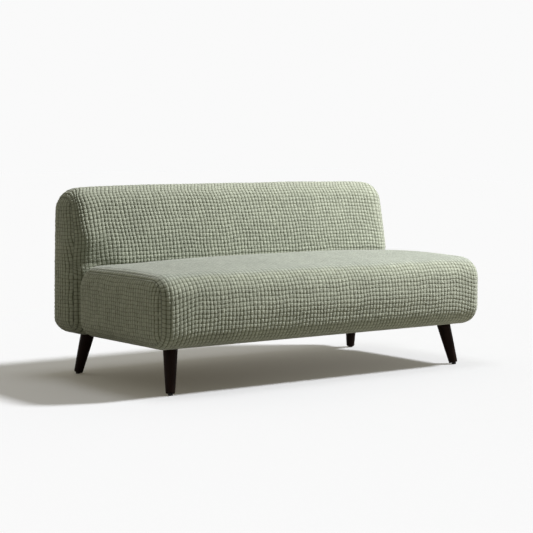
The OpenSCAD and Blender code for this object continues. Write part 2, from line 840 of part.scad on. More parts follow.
// Upright leg bolts and the threaded inserts in the frame that they screw into
module leg_bolt(foot, lean) {
    length = leg_bolt_depth + cover_t + insert_l + bolt_past_insert;
    translate(foot + lean - [0, 0, leg_bolt_depth]) cylinder(h = length, d = bolt_dia);
}
module leg_bolts() {
    color(zinc) both_sides() {
        leg_bolt(front_foot, front_lean);
        leg_bolt(rear_foot, rear_lean);
    }
}
module insert(foot, lean) {
    translate(foot + lean + [0, 0, cover_t]) difference() {
        cylinder(h = insert_l, d = insert_dia);
        translate([0, 0, -margin]) cylinder(h = insert_l + 2 * margin, d = bolt_dia);
    }
}
module leg_inserts() {
    color(zinc) both_sides() {
        insert(front_foot, front_lean);
        insert(rear_foot, rear_lean);
    }
}

seat_cover();
seat_foam_wrap();
seat_foam_slab();
seat_front_rail();
seat_rear_rail();
seat_left_rail();
seat_right_rail();
seat_cross_rail_left();
seat_cross_rail_right();
seat_corner_blocks();
seat_joining_blocks();
seat_cross_webbing();
seat_long_webbing();
seat_frame_screws();
seat_dust_cloth();
back_cover();
back_foam_wrap();
back_foam_pad();
back_left_rib();
back_right_rib();
back_inner_ribs();
back_bottom_board();
back_lower_rail();
back_middle_rail();
back_top_rail();
back_rear_panel();
back_webbing();
back_leg_blocks();
back_joining_blocks();
back_frame_screws();
back_dust_cloth();
joining_bolts();
joining_washers();
joining_nuts();
leg_front_left();
leg_front_right();
leg_rear_left();
leg_rear_right();
glide_front_left();
glide_front_right();
glide_rear_left();
glide_rear_right();
glide_nails();
leg_bolts();
leg_inserts();
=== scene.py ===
import json
import bpy
import numpy as np
from math import pi, radians
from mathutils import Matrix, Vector

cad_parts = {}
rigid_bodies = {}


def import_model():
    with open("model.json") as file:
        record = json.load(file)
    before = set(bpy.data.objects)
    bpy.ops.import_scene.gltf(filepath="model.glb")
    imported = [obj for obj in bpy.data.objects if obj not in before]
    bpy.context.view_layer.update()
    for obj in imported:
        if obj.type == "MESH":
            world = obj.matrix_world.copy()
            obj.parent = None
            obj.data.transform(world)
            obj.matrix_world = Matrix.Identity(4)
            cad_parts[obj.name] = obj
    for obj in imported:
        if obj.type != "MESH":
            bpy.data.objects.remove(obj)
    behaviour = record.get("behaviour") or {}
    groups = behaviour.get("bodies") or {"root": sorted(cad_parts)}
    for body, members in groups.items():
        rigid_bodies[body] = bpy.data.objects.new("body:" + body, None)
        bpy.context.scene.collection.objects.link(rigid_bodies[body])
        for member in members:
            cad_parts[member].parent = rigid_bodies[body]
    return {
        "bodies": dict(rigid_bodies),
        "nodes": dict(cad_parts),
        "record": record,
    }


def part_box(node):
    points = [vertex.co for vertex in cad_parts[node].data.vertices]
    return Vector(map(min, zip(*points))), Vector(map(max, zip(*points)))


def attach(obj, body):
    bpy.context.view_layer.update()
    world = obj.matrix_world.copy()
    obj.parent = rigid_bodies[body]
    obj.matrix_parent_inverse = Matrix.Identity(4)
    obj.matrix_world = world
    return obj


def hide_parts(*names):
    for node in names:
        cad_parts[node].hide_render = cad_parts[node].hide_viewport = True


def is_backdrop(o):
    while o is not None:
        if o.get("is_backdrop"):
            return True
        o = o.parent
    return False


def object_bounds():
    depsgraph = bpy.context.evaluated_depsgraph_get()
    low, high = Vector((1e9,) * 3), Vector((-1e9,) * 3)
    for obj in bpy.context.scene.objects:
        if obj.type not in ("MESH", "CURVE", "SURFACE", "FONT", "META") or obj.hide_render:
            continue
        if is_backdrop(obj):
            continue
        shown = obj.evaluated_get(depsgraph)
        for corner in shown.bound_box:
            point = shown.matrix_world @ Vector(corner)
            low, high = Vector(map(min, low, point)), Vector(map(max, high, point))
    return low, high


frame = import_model()
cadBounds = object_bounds()
body = next(iter(frame["bodies"]))
nodes = frame["nodes"]
mm = 0.001
print("frame loaded:", len(nodes), "nodes on body", body)


# Camera: the photograph's own viewpoint, to the left of the front and a little above the back's top
cameraSettings = {
    "place": (-3.6158, -4.94005, 0.88421),
    "downTilt": 4.5936,      # degrees below the horizon
    "turn": -36.0335,        # degrees about Z, towards the right
    "lens": 109.164,         # mm on a 36 mm wide sensor
}


def newObject(name, data):
    thing = bpy.data.objects.new(name, data)
    bpy.context.scene.collection.objects.link(thing)
    return thing


def makeCamera(settings):
    data = bpy.data.cameras.new("sofaCamera")
    data.sensor_width = 36
    data.lens = settings["lens"]
    data.clip_end = 200
    camera = newObject("sofaCamera", data)
    camera.location = settings["place"]
    camera.rotation_euler = (radians(90 - settings["downTilt"]), 0, radians(settings["turn"]))
    bpy.context.scene.camera = camera


makeCamera(cameraSettings)
bpy.context.scene.view_settings.view_transform = "Standard"
print("camera placed")


# Puts a value or a link into each of a node's inputs
def fill(tree, node, inputs):
    for key, value in dict(inputs).items():
        if isinstance(value, bpy.types.NodeSocket):
            tree.links.new(value, node.inputs[key])
        else:
            node.inputs[key].default_value = value


def addNode(tree, kind, inputs=(), **settings):
    node = tree.nodes.new(kind)
    for name, value in settings.items():
        setattr(node, name, value)
    fill(tree, node, inputs)
    return node


def maths(tree, operation, a, b=0.0, c=0.0, clamp=False):
    node = addNode(tree, "ShaderNodeMath", {0: a, 1: b, 2: c}, operation=operation, use_clamp=clamp)
    return node.outputs[0]


def mixColours(tree, share, first, second, blend="MIX"):
    inputs = {0: share, 6: first, 7: second}
    return addNode(tree, "ShaderNodeMix", inputs, data_type="RGBA", blend_type=blend).outputs[2]


# The value's run from low to high, spread from first to last
def ramp(tree, value, low, high, first=0.0, last=1.0, kind="LINEAR"):
    inputs = {0: value, 1: low, 2: high, 3: first, 4: last}
    return addNode(tree, "ShaderNodeMapRange", inputs, interpolation_type=kind).outputs[0]


def noise(tree, place, scale, detail, distortion=0.0):
    inputs = {"Vector": place, "Scale": scale, "Detail": detail, "Distortion": distortion}
    return addNode(tree, "ShaderNodeTexNoise", inputs).outputs[0]


def bump(tree, strength, distance, height, **more):
    inputs = {"Strength": strength, "Distance": distance, "Height": height, **more}
    return addNode(tree, "ShaderNodeBump", inputs).outputs[0]


def objectPlace(tree):
    return addNode(tree, "ShaderNodeTexCoord").outputs["Object"]


def newMaterial(name):
    material = bpy.data.materials.new(name)
    material.use_nodes = True
    return material, material.node_tree, material.node_tree.nodes["Principled BSDF"]


# A shader node group with named inputs, each given as name, socket type and default, and named outputs
def newGroup(name, inputs, outputs):
    group = bpy.data.node_groups.new(name, "ShaderNodeTree")
    for socketName, kind, value in inputs:
        socket = group.interface.new_socket(socketName, in_out="INPUT", socket_type=kind)
        if value is not None:
            socket.default_value = value
    for socketName, kind in outputs:
        group.interface.new_socket(socketName, in_out="OUTPUT", socket_type=kind)
    return group, group.nodes.new("NodeGroupInput"), group.nodes.new("NodeGroupOutput")


# Screen colour from 0 to 255 as a linear colour
def colour(red, green, blue):
    screen = np.array([red, green, blue]) / 255
    linear = np.where(screen <= 0.04045, screen / 12.92, ((screen + 0.055) / 1.055) ** 2.4)
    return (*linear.tolist(), 1.0)


# Light: a high lamp at the front right for the sofa, and two for the floor alone, in a dim warm room. One is
# further off on the same side and casts the shadow, and a wide one overhead deepens it under the seat. The
# floor is made evenly pale round the shadow.
lightSettings = {
    "roomColour": (1.0, 0.95, 0.80),
    "roomStrength": 0.29,
    "roomSlope": 0.85,       # how much more light comes from behind the sofa than from in front of it
    "whiteLevel": 0.955,
    "shadowLevel": (0.375, 0.362, 0.328),      # the floor's colour in the lamp's shadow, in the open
    "floorBounce": (0.296, 0.283, 0.244, 1.0),
    "floorHalf": 30.0,
}

# The floor is all that a lamp lights (INCLUDE) or all that it leaves out (EXCLUDE)
lampSettings = {
    "keyLamp": {"power": 250.0, "place": (2.45, -1.4, 3.35), "size": 0.4, "floor": "EXCLUDE",
                "tint": (0.985, 0.99, 1.0)},
    "floorLamp": {"power": 500.0, "place": (3.8, -1.8, 4.6), "size": 0.9, "floor": "INCLUDE"},
    "overheadLamp": {"power": 29.0, "place": (0.0, 0.0, 4.5), "size": 1.6, "floor": "INCLUDE"},
}


# A round area lamp that faces the middle of the sofa
def addLamp(name, settings, floor):
    data = bpy.data.lights.new(name, "AREA")
    data.shape = "DISK"
    data.size = settings["size"]
    data.energy = settings["power"]
    data.color = settings.get("tint", (1.0, 1.0, 1.0))
    lamp = newObject(name, data)
    lamp.location = settings["place"]
    lamp.rotation_euler = Vector(settings["place"]).to_track_quat("Z", "Y").to_euler()
    group = bpy.data.collections.new(name + "Lights")
    group.objects.link(floor)
    group.collection_objects[0].light_linking.link_state = settings["floor"]
    lamp.light_linking.receiver_collection = group


# 1 for rays that the camera, a gloss or a clear thing sends out, and 0 for the light that reaches the object
def seenDirectly(tree):
    path = addNode(tree, "ShaderNodeLightPath")
    seen = maths(tree, "MAXIMUM", path.outputs["Is Camera Ray"], path.outputs["Is Glossy Ray"])
    return maths(tree, "MAXIMUM", seen, path.outputs["Is Transmission Ray"])


def makeRoom(settings):
    world = bpy.data.worlds.new("paleRoom")
    bpy.context.scene.world = world
    world.use_nodes = True
    tree = world.node_tree
    tree.nodes.clear()
    white = (settings["whiteLevel"],) * 3 + (1.0,)
    place = addNode(tree, "ShaderNodeTexCoord").outputs["Generated"]
    heading = addNode(tree, "ShaderNodeSeparateXYZ", {0: place})
    strength = maths(tree, "MULTIPLY_ADD", heading.outputs[1],
                     settings["roomSlope"] * settings["roomStrength"], settings["roomStrength"])
    tint = (*settings["roomColour"], 1.0)
    dim = addNode(tree, "ShaderNodeBackground", {"Color": tint, "Strength": strength})
    bright = addNode(tree, "ShaderNodeBackground", {"Color": white, "Strength": 1.0})
    mix = addNode(tree, "ShaderNodeMixShader",
                  {0: seenDirectly(tree), 1: dim.outputs[0], 2: bright.outputs[0]})
    addNode(tree, "ShaderNodeOutputWorld", {"Surface": mix.outputs[0]})


# Light on the floor from a round lamp, over pi: power / pi^2 times both cosines over the distance squared
def lampOnFloor(tree, place, settings):
    lamp = Vector(settings["place"])
    away = addNode(tree, "ShaderNodeVectorMath", {0: place, 1: lamp}, operation="SUBTRACT").outputs[0]
    distance = addNode(tree, "ShaderNodeVectorMath", {0: away}, operation="LENGTH").outputs["Value"]
    facing = addNode(tree, "ShaderNodeVectorMath", {0: away, 1: -lamp.normalized()}, operation="DOT_PRODUCT")
    top = maths(tree, "MULTIPLY", facing.outputs["Value"], settings["power"] * lamp.z / pi ** 2)
    return maths(tree, "DIVIDE", top, maths(tree, "POWER", distance, 4.0))


# The floor's colour makes up for the shadow lamp's falling light: (white - shadow) / lamp, so that its shadow
# is equally deep everywhere. What is still missing from white is added as its own light, for the camera only.
def makeFloor(settings):
    material, tree, shader = newMaterial("paleFloor")
    seen = seenDirectly(tree)
    place = objectPlace(tree)
    lamp = lampOnFloor(tree, place, lampSettings["floorLamp"])
    overhead = lampOnFloor(tree, place, lampSettings["overheadLamp"])
    both = maths(tree, "ADD", lamp, overhead)
    colours, lights = {}, {}
    for channel in range(3):
        depth = settings["whiteLevel"] - settings["shadowLevel"][channel]
        room = settings["roomColour"][channel] * settings["roomStrength"]
        colours[channel] = maths(tree, "DIVIDE", depth, lamp, clamp=True)
        lit = maths(tree, "MULTIPLY", colours[channel], maths(tree, "ADD", both, room))
        lights[channel] = maths(tree, "MULTIPLY", maths(tree, "SUBTRACT", settings["whiteLevel"], lit), seen)
    even = addNode(tree, "ShaderNodeCombineColor", colours).outputs[0]
    fill(tree, shader, {
        "Base Color": mixColours(tree, seen, settings["floorBounce"], even),
        "Emission Color": addNode(tree, "ShaderNodeCombineColor", lights).outputs[0],
        "Emission Strength": 1.0, "Roughness": 1.0, "Specular IOR Level": 0.0})
    half = settings["floorHalf"]
    corners = [(-half, -half, 0), (half, -half, 0), (half, half, 0), (-half, half, 0)]
    mesh = bpy.data.meshes.new("paleFloor")
    mesh.from_pydata(corners, [], [(0, 1, 2, 3)])
    mesh.materials.append(material)
    floor = newObject("paleFloor", mesh)
    floor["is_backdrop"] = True
    return floor


makeRoom(lightSettings)
floor = makeFloor(lightSettings)
for name, settings in lampSettings.items():
    addLamp(name, settings, floor)
print("room, floor and lamps made")


# Meshes from whole arrays: faces come as arrays that each hold faces of one corner count
def meshPiece(name, points, faces, material):
    mesh = bpy.data.meshes.new(name)
    mesh.vertices.add(len(points))
    mesh.vertices.foreach_set("co", np.asarray(points, np.float32).ravel())
    corners = np.concatenate([part.ravel() for part in faces])
    sizes = np.concatenate([np.full(len(part), part.shape[1]) for part in faces])
    mesh.loops.add(len(corners))
    mesh.loops.foreach_set("vertex_index", corners.astype(np.int32))
    mesh.polygons.add(len(sizes))
    mesh.polygons.foreach_set("loop_start", (np.cumsum(sizes) - sizes).astype(np.int32))
    mesh.polygons.foreach_set("use_smooth", np.full(len(sizes), True))
    mesh.update(calc_edges=True)
    mesh.materials.append(material)
    return newObject(name, mesh)


def pointValues(piece, name, values):
    kind, key = ("FLOAT", "value") if values.ndim == 1 else ("FLOAT_VECTOR", "vector")
    layer = piece.data.attributes.new(name, kind, "POINT")
    layer.data.foreach_set(key, values.astype(np.float32).ravel())


# Each cell's four corners in turn, from a grid of values
def cellCorners(grid):
    return np.stack([grid[:-1, :-1], grid[1:, :-1], grid[1:, 1:], grid[:-1, 1:]], 2)


def gridFaces(numbers):
    return cellCorners(numbers).reshape(-1, 4)


# Lowest and highest corners of a CAD node
def nodeBox(node):
    return [np.array(corner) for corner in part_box(node)]


# A piece rides the body and stands in for its node, which is hidden
def stand(piece, node):
    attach(piece, body)
    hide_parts(node)


# Sum of sine waves in random directions, of about the given wavelength; values lie near -1 to 1
def softNoise(points, size, seed):
    waves, peak = 9, 4.2
    draw = np.random.default_rng(seed)
    heading = draw.normal(size=(3, waves))
    heading *= 2 * pi / (size * draw.uniform(0.7, 1.5, waves)) / np.linalg.norm(heading, axis=0)
    return np.sin(points @ heading + draw.uniform(0, 2 * pi, waves)).sum(-1) / peak


# 0 below 0, 1 above 1, and a smooth rise between
def ease(value):
    held = np.clip(value, 0, 1)
    return held * held * (3 - 2 * held)


# 1 at the middle and near 0 from about twice the width away
def hump(distance, width):
    return np.exp(-(distance / width) ** 2)


outlineSettings = {"samples": 4096, "blur": 22}      # places round an outline, and the blur of its swell, mm


# Outline of a block in Y and Z: arcs of the given radii between straight edges, kept as a list of pieces. An
# arc of negative radius is hollow. Each edge swells by a parabola, and the swell is blurred along the outline
# so that it runs into the arcs.
def makeOutline(corners, radii, swells):
    points, radii = np.array(corners), np.array(radii)
    edge = np.roll(points, -1, axis=0) - points
    length = np.linalg.norm(edge, axis=1)
    along = edge / length[:, None]
    normal = np.column_stack([along[:, 1], -along[:, 0]])
    angle = np.arctan2(normal[:, 1], normal[:, 0])
    before = np.roll(angle, 1)
    turn = (angle - before + pi) % (2 * pi) - pi
    setback = radii * np.tan(turn / 2)
    centre = points - np.roll(along, 1, axis=0) * setback[:, None]
    centre = centre - np.roll(normal, 1, axis=0) * radii[:, None]
    ends = {
        "centre": (np.repeat(centre, 2, axis=0),
                   np.stack([centre, np.roll(centre, -1, axis=0)], 1).reshape(-1, 2)),
        "radius": (np.repeat(radii, 2), np.stack([radii, np.roll(radii, -1)], 1).ravel()),
        "angle": (np.stack([before, before + turn], 1).ravel(), np.repeat(before + turn, 2)),
    }
    pieceLength = np.stack([radii * turn, length - setback - np.roll(setback, -1)], 1).ravel()
    starts = np.concatenate([[0], np.cumsum(pieceLength)])
    outline = {"ends": ends, "starts": starts, "total": starts[-1], "length": pieceLength}
    samples = outlineSettings["samples"]
    table = np.linspace(0, starts[-1], samples, endpoint=False)
    which = np.clip(np.searchsorted(starts, table, side="right") - 1, 0, len(pieceLength) - 1)
    share = (table - starts[which]) / pieceLength[which]
    swell = np.where(which % 2 == 1, np.array(swells)[which // 2] * 4 * share * (1 - share), 0)
    wave = np.fft.rfftfreq(samples, starts[-1] / samples)
    blur = np.exp(-2 * (pi * wave * outlineSettings["blur"] * mm) ** 2)
    outline["table"] = table
    outline["swell"] = np.fft.irfft(np.fft.rfft(swell) * blur, samples)
    return outline


# Place and normal angle after a walk of a length round the outline: the piece's centre, plus its radius and
# swell, less the inset, along the normal
def outlinePoint(outline, run, inset, swellShare):
    run = run % outline["total"]
    which = np.clip(np.searchsorted(outline["starts"], run, side="right") - 1, 0, len(outline["length"]) - 1)
    share = (run - outline["starts"][which]) / outline["length"][which]
    centre, radius, angle = [
        first[which] + (last[which] - first[which]) * (share[..., None] if first.ndim == 2 else share)
        for first, last in outline["ends"].values()]
    swell = np.interp(run, outline["table"], outline["swell"], period=outline["total"])
    reach = radius - inset + swellShare * swell
    return centre[..., 0] + reach * np.cos(angle), centre[..., 1] + reach * np.sin(angle), angle


# Puckered covers: each is a wrap round the block between two seams, with a panel sewn in at each end
seatBox = nodeBox("seat_cover")
seatSettings = {
    "radii": (75, 59.5, 83.5, 80),   # lower front, lower rear, top rear and top front edges, mm
    "swells": (0, 0, 28, 10.3),      # underside, rear, top and front, mm
    "endRound": 54, "endSwell": 13.6, "sink": 2,
    "tuck": 0,                       # how far the front is drawn in at its left end, mm
    "seamFade": 2.5,                 # width over which the puffs fade in beside the seam, mm
    "splits": (0.5, 0.5, 0.5, 0.5),  # share of each corner's arc where the panel's sides meet
    "cells": (33, 15, 95),           # puffs from front to rear, from bottom to top, and along
    "droop": 30,                     # how far the rows slide down towards the ends, mm
    "skew": 0.0,                     # lean of the columns on the front
    "puff": (3.1, 2.7),              # height of a puff above its groove at the left and right end, mm
    "panelPitch": 13.8,              # puff size on the end panels, mm
    "seam": 0.15,                    # depth of the seam, mm
    "creases": 1.5,                  # gathers at the top front corner, mm
    "topCalm": 0.5,                  # share of the puffs' height that is lost on the top,
    "edgeCalm": 0.0,                 # beside the seam, off the top,
    "tuckCalm": 0.0,                 # and where the front is drawn in
    "seed": 11,
}
backBox = nodeBox("back_cover")
backSettings = {
    "radii": (60, 58.5, 78, 77.5, 60, -40),  # as above, then the belly and the hollow below it
    "swells": (0, 8.4, 4, 8.4, 0, 0),
    "endRound": 80, "endSwell": 1.5, "sink": 11,
    "lean": 11.3, "rake": 2.2,  # slants of the front and the rear, degrees
    "belly": 33.4, "bellyHeight": 420, "footHeight": 372,
    "tuck": 34,
    "tuckAlong": (540, 710),  # distances left of the middle over which it grows, mm
    "tuckLow": (370, 430), "tuckHigh": (420, 545),  # heights over which it grows and fades, mm
    "seamFade": 3,
    "splits": (0.5, 0.5, 0.22, 0.78),
    "cells": (15, 35, 96),
    "droop": 8,
    "skew": 0.09,
    "puff": (4.7, 3.5),
    "panelPitch": 13.2,
    "seam": 0.2,
    "creases": 0.7,
    "topCalm": 0.0, "edgeCalm": 0.5, "tuckCalm": 0.8,
    "seed": 23,
}
# What both covers share, in mm unless it is a share or says otherwise
reliefSettings = {
    "seamAngle": 50,  # degrees round the end where the panel is sewn on
    "panelPuff": 3.2,  # height of a puff on the end panels
    "droopOver": 150,  # distance from the seam over which the rows slide down
    "puffPower": 4.0, "rowDepth": 0.66,  # flatness of a puff, and rows' grooves against columns'
    "scale": (0.84, 1.1), "tilt": 0.28, "slant": (0.05, 0.3), "slantPower": 6,  # how puffs differ
    "ground": 0.2, "panelGround": 0.3,  # share of a puff's height that lies below the outline
    "sway": 2.4, "swaySize": 110, "swayFade": 70,  # wander of the columns
    "wander": 2.6, "wanderSize": 130,  # and of the rows
    "panelWander": 0.13, "panelWanderSize": 70,  # and of both on the panels, in cells
    "unevenness": 0.8, "unevenSize": 260,
    "seamWidth": 2.4, "seamUnder": 0.3,  # and the share of the seam that shows on the underside
    "gather": 0.35, "gatherPitch": 2.9, "gatherReach": 8, "gatherStart": 3,
    "creasePitch": 1.9, "creaseReach": 24, "creaseAround": 75,
    "panelCrease": (30, -40), "panelCreaseAround": 55,  # the creases' middle from the panel's corner
    "crinkle": 0.5, "crinkleSize": 9, "crinkleFade": 8,  # fine unevenness of the panels
    "frontGain": 1.3,  # how soon the columns start to lean round the front's edges
    "topStart": 0.75, "topRise": 0.22,  # upward part of the normal over which the top grows calm
    "underStart": -0.985, "underRise": 0.3,  # and over which the puffs grow from the underside
    "edgeReach": 35, "calmFade": 45, "tuckPower": 0.35, "contactGap": 0.05,
}
cellSteps = np.array([0, 0.12, 0.35, 0.65, 0.88])
blockGap = 0.2 * mm


def seatCorners(settings, low, high):
    swells = [value * mm for value in settings["swells"]]
    front, top = low[1] + swells[3], high[2] - swells[2]
    return [(front, low[2]), (high[1], low[2]), (high[1], top), (front, top)]


def backCorners(settings, low, high, front):
    rear, top = high[1], high[2] - settings["swells"][2] * mm
    topRear = rear - (top - low[2]) * np.tan(radians(settings["rake"]))
    belly, bellyHeight = front - settings["belly"] * mm, settings["bellyHeight"] * mm
    topFront = belly + (top - bellyHeight) * np.tan(radians(settings["lean"]))
    return [(front, low[2]), (rear, low[2]), (topRear, top), (topFront, top),
            (belly, bellyHeight), (front, settings["footHeight"] * mm)]


# Lines across a run of cells, at cellSteps in each, and their places in cells
def cellLines(start, end, count):
    cell = (np.arange(count)[:, None] + cellSteps[None, :]).ravel()
    return start + (end - start) * cell / count, cell


# How far the front of a block is drawn in, as a share of its tuck: it rises towards the left end, and with
# height up to and down from the belly
def tuckIn(settings, x, y, z, middle):
    if not settings["tuck"]:
        return np.zeros(x.shape)
    spans = [settings[name] for name in ("tuckAlong", "tuckLow", "tuckHigh")]
    along, low, high = [ease((value / mm - span[0]) / (span[1] - span[0]))
                        for value, span in zip((-x, z, z), spans)]
    return along * low * (1 - high) * (y < middle)


# One less a power of the distance from a cell's middle: a rounded top between two grooves
def puffProfile(place, power, depth):
    return 1 - depth * np.abs(2 * (place % 1) - 1) ** power


# Height over a field of cells: deep grooves between columns times shallow grooves between rows, scaled and
# tilted at random from cell to cell; each puff slants a little
def puffHeight(across, up, seed):
    relief = reliefSettings
    draw = np.random.default_rng(seed)
    columns, rows = int(across.max()) + 2, int(up.max()) + 2
    scale = draw.uniform(*relief["scale"], (columns, rows))
    tilt = draw.uniform(-relief["tilt"], relief["tilt"], (2, columns, rows))
    i, j = np.floor(across).astype(int), np.floor(up).astype(int)
    lean = tilt[0][i, j] * (across % 1 - 0.5) + tilt[1][i, j] * (up % 1 - 0.5)
    slant = draw.uniform(*relief["slant"], (columns, rows))[i, j] * (up % 1 - 0.5)
    slant = slant * (1 - (2 * (up % 1) - 1) ** relief["slantPower"])
    height = puffProfile(across + slant, relief["puffPower"], 1.0)
    height = height * puffProfile(up, relief["puffPower"], relief["rowDepth"])
    return height * scale[i, j] * (1 + lean)


# Beside a seam: a narrow groove, small gathers, and creases near the top front corner
def seamRelief(settings, gap, run, corner):
    relief = reliefSettings
    groove = -settings["seam"] * mm * hump(gap, relief["seamWidth"] * mm)
    gathers = relief["gather"] * mm * np.sin(run / (relief["gatherPitch"] * mm))
    gathers = gathers * np.exp(-gap / (relief["gatherReach"] * mm)) * ease(gap / (relief["gatherStart"] * mm))
    creases = settings["creases"] * mm * np.sin(gap / (relief["creasePitch"] * mm))
    creases = creases * np.exp(-gap / (relief["creaseReach"] * mm)) * corner
    return groove + gathers + creases


# 0 on the underside and 1 on every face that doesn't look steeply down
def offUnderside(normal):
    return ease((normal[..., 2] - reliefSettings["underStart"]) / reliefSettings["underRise"])


# The block's fabric: outline place, at an inset that grows by a quarter circle round the ends, plus the
# height of the puffs along the normal
def makeCover(name, settings, low, high, corners, contactSide, contactY, material):
    relief = reliefSettings
    endRound, endSwell = settings["endRound"] * mm, settings["endSwell"] * mm
    seam = radians(relief["seamAngle"])
    half = high[0] - endSwell
    flatHalf = half - endRound
    bottom, top = corners[0][1], corners[2][1]
    middle = (corners[0][0] + corners[1][0]) / 2
    outline = makeOutline(corners, [value * mm for value in settings["radii"]],
                          [value * mm for value in settings["swells"]])
    deep, tall, long = settings["cells"]
    arcStart, arcLength = outline["starts"][0:8:2], outline["length"][0:8:2]
    split = arcStart + arcLength * np.array(settings["splits"])
    sides = [cellLines(*pair) for pair in (
        (split[0], split[1], deep), (split[1], split[2], tall), (split[2], split[3], deep),
        (split[3], split[0] + outline["total"], tall))]
    run = np.concatenate([side[0] for side in sides])
    rowCell = np.concatenate([side[1] + offset for side, offset in
                              zip(sides, (0, deep, deep + tall, 2 * deep + tall))])
    reach = flatHalf + endRound * seam
    along, columnCell = cellLines(-reach, reach, long)
    along, columnCell = np.append(along, reach), np.append(columnCell, long)

    def place(along, run):
        turn = np.clip((np.abs(along) - flatHalf) / endRound, 0, pi / 2)
        x = np.sign(along) * (np.minimum(np.abs(along), flatHalf) + endRound * np.sin(turn))
        share = np.minimum(np.abs(x) / half, 1)
        y, z, angle = outlinePoint(outline, run, endRound * (1 - np.cos(turn)), 1 - share ** 3)
        y = y + settings["tuck"] * mm * tuckIn(settings, x, y, z, middle)
        z = z - settings["sink"] * mm * share ** 6 * (z - bottom) / (top - bottom)
        normal = np.stack([np.sign(along) * np.sin(turn), np.cos(turn) * np.cos(angle),
                           np.cos(turn) * np.sin(angle)], -1)
        return np.stack([x, y, z], -1), normal

    # Grid lines: rows slide down the upright faces towards the ends, columns lean on the front, both wander
    alongGrid, runGrid = np.meshgrid(along, run, indexing="ij")
    gap = reach - np.abs(alongGrid)
    rough, roughNormal = place(alongGrid, runGrid)
    onFront = ease(-relief["frontGain"] * roughNormal[..., 1])
    slide = settings["droop"] * mm * ease(1 - gap / (relief["droopOver"] * mm))
    runGrid = runGrid - slide * roughNormal[..., 1]
    inside = ease(gap / (relief["swayFade"] * mm))
    sway = relief["sway"] * mm * softNoise(rough, relief["swaySize"] * mm, settings["seed"] + 1)
    sway -= settings["skew"] * (rough[..., 2] - corners[-1][1]) * onFront
    wander = relief["wander"] * mm * softNoise(rough, relief["wanderSize"] * mm, settings["seed"])
    base, normal = place(alongGrid + sway * inside, runGrid + wander)

    # Heights of the puffs and the seam
    cornerRun = outline["starts"][6] + outline["length"][6] / 2
    corner = hump(runGrid - cornerRun, relief["creaseAround"] * mm)
    acrossGrid, upGrid = np.meshgrid(columnCell, rowCell, indexing="ij")
    upright = offUnderside(normal)
    puffs = puffHeight(np.minimum(acrossGrid, long - 1e-6), upGrid, settings["seed"] + 2)
    topness = roughNormal[..., 2] / np.hypot(roughNormal[..., 1], roughNormal[..., 2])
    onTop = ease((topness - relief["topStart"]) / relief["topRise"])
    calm = 1 - settings["topCalm"] * onTop
    nearSeam = ease(gap / (settings["seamFade"] * mm))
    nearSeam *= 1 - settings["edgeCalm"] * ease(1.5 - gap / (relief["edgeReach"] * mm)) * (1 - onTop)
    depth = np.interp(rough[..., 0], (-half, half), settings["puff"])
    hollow = tuckIn(settings, *np.moveaxis(rough, -1, 0), middle) ** relief["tuckPower"]
    height = depth * mm * (puffs - relief["ground"]) * upright * calm * nearSeam
    height = height * (1 - settings["tuckCalm"] * hollow)
    seamShare = relief["seamUnder"] + (1 - relief["seamUnder"]) * upright
    height += seamRelief(settings, gap, runGrid, corner) * seamShare
    uneven = softNoise(rough, relief["unevenSize"] * mm, settings["seed"] + 3)
    height += relief["unevenness"] * mm * uneven * upright
    wrap = base + normal * height[..., None]

    # Rings closed round the outline, then a panel at each end
    count = wrap.shape[0] * wrap.shape[1]
    number = np.arange(count).reshape(wrap.shape[:2])
    closed = np.column_stack([number, number[:, :1]])
    faces = [gridFaces(closed)]
    rowEnds = np.append(rowCell, 2 * (deep + tall))
    uvs = [cellCorners(np.stack(np.meshgrid(columnCell, rowEnds, indexing="ij"), -1)).reshape(-1, 4, 2)]
    points = [wrap.reshape(-1, 3)]
    # Share of the top's cooler grey, which is partly painted sheen
    topCalm = settings["topCalm"] * onTop * ease(gap / (relief["calmFade"] * mm))
    # The puff height is kept for the fabric, where it also places the grooves' painted shade
    values = {"puff": [puffs.ravel()], "seamGap": [gap.ravel()], "calm": [topCalm.ravel()]}
    for side in (-1, 1):
        ring = 0 if side < 0 else -1
        panel = makePanel(settings, corners, base[ring], normal[ring], number[ring], count, side,
                          (flatHalf, endRound, endSwell, seam))
        turned = slice(None) if side > 0 else slice(None, None, -1)
        faces.append(gridFaces(panel["numbers"])[:, turned])
        uvs.append(cellCorners(panel["cells"]).reshape(-1, 4, 2)[:, turned])
        points.append(panel["points"])
        for key, parts in values.items():
            parts.append(panel[key])
        count += len(panel["points"])
    points = np.concatenate(points)
    contactGap = relief["contactGap"] * mm
    if contactSide > 0:
        points[:, 1] = np.minimum(points[:, 1], contactY - contactGap)
    else:
        touching = points[:, 2] < settings["footHeight"] * mm
        points[touching, 1] = np.maximum(points[touching, 1], contactY + contactGap)
    faces = np.concatenate(faces)
    piece = meshPiece(name, points, [faces], material)
    piece.data.uv_layers.new(name="cells")
    piece.data.uv_layers["cells"].data.foreach_set("uv", np.concatenate(uvs).astype(np.float32).ravel())
    for key, parts in values.items():
        pointValues(piece, key, np.concatenate(parts))
    print(name, "made:", len(points), "points", len(faces) * 2, "triangles")
    return piece


